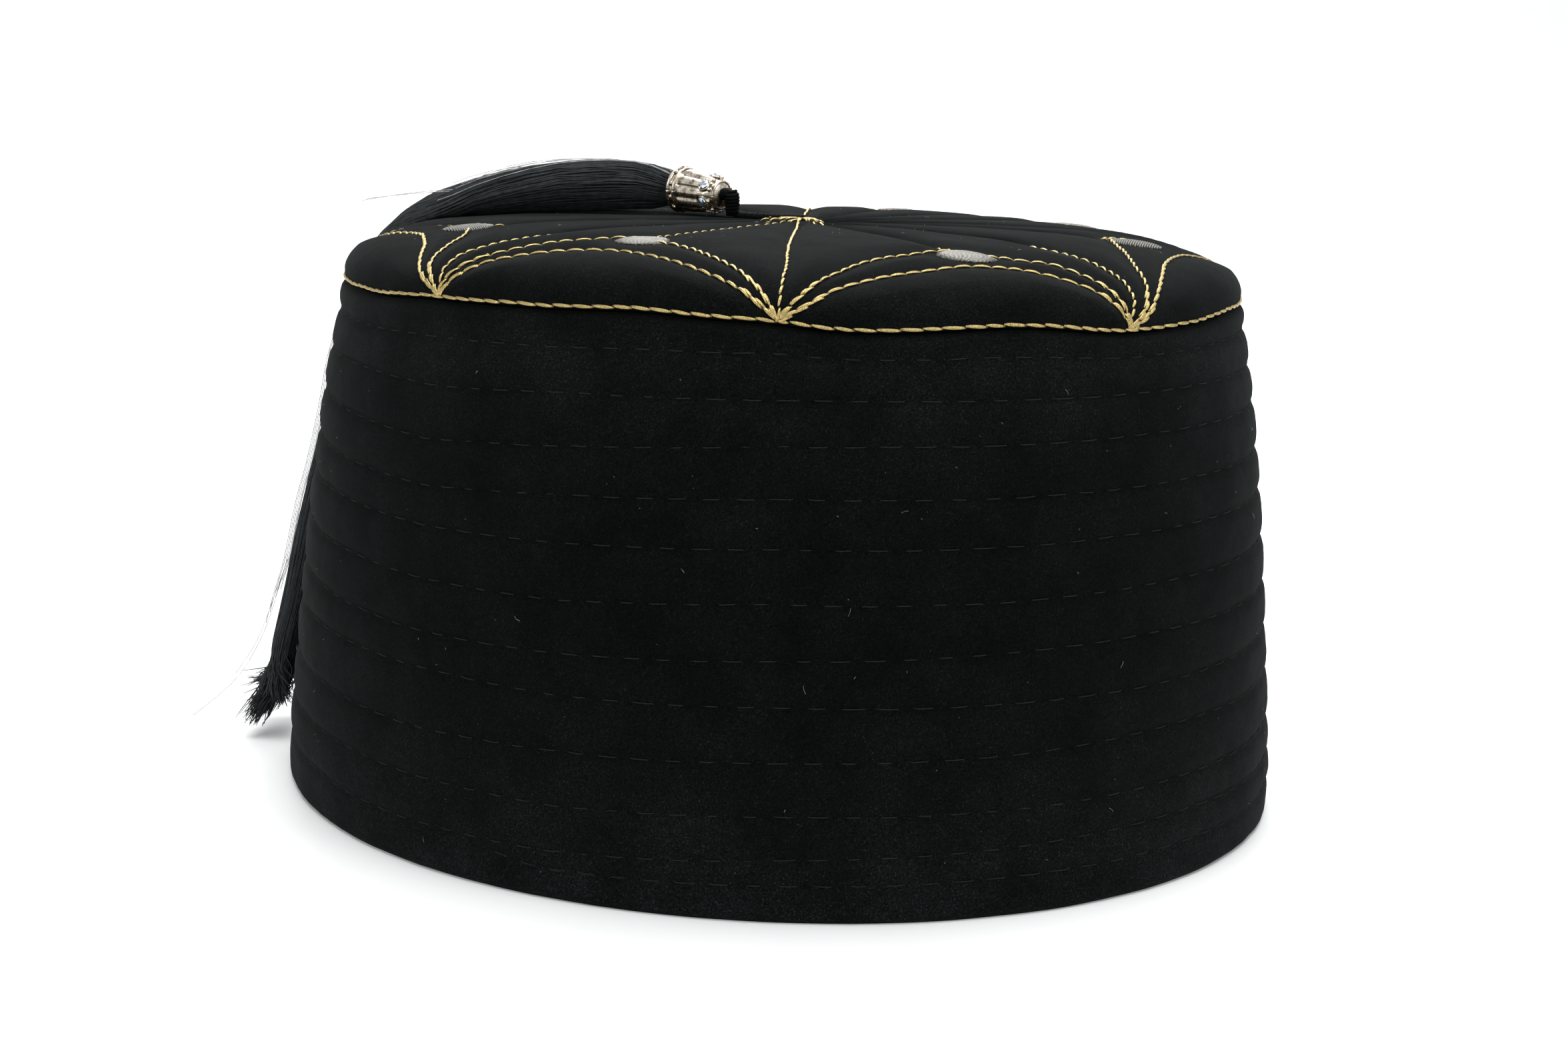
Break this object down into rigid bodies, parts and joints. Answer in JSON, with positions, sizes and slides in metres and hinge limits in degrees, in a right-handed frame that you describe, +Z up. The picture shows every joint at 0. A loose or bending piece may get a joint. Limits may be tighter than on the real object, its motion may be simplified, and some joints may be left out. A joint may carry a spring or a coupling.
{
  "type": "fez",
  "caption": "Round black velvet cap with a quilted side band, an embroidered padded crown and a black tassel under a small silver cap.",
  "frame": {"origin": "middle of the head opening, on the plane that the lower edge rests on", "axes": "+Z up out of the crown, the front of the hat towards -Y, the tassel at the back left, towards -X"},
  "size_m": [0.2026, 0.1866, 0.1178],
  "materials": {
    "velvet": "black cotton velvet, short pile",
    "cord": "black silky rayon strands",
    "silver": "worn silver plating with clear crystals",
    "gold_thread": "metallic gold embroidery thread",
    "silver_thread": "silver satin-stitch thread",
    "quilting_thread": "dark grey sewing thread"
  },
  "bodies": {
    "root": {"band": "velvet", "crown": "velvet", "tassel_cord": "cord", "tassel_cap": "silver", "tassel_skein": "cord"}
  },
  "joints": []
}
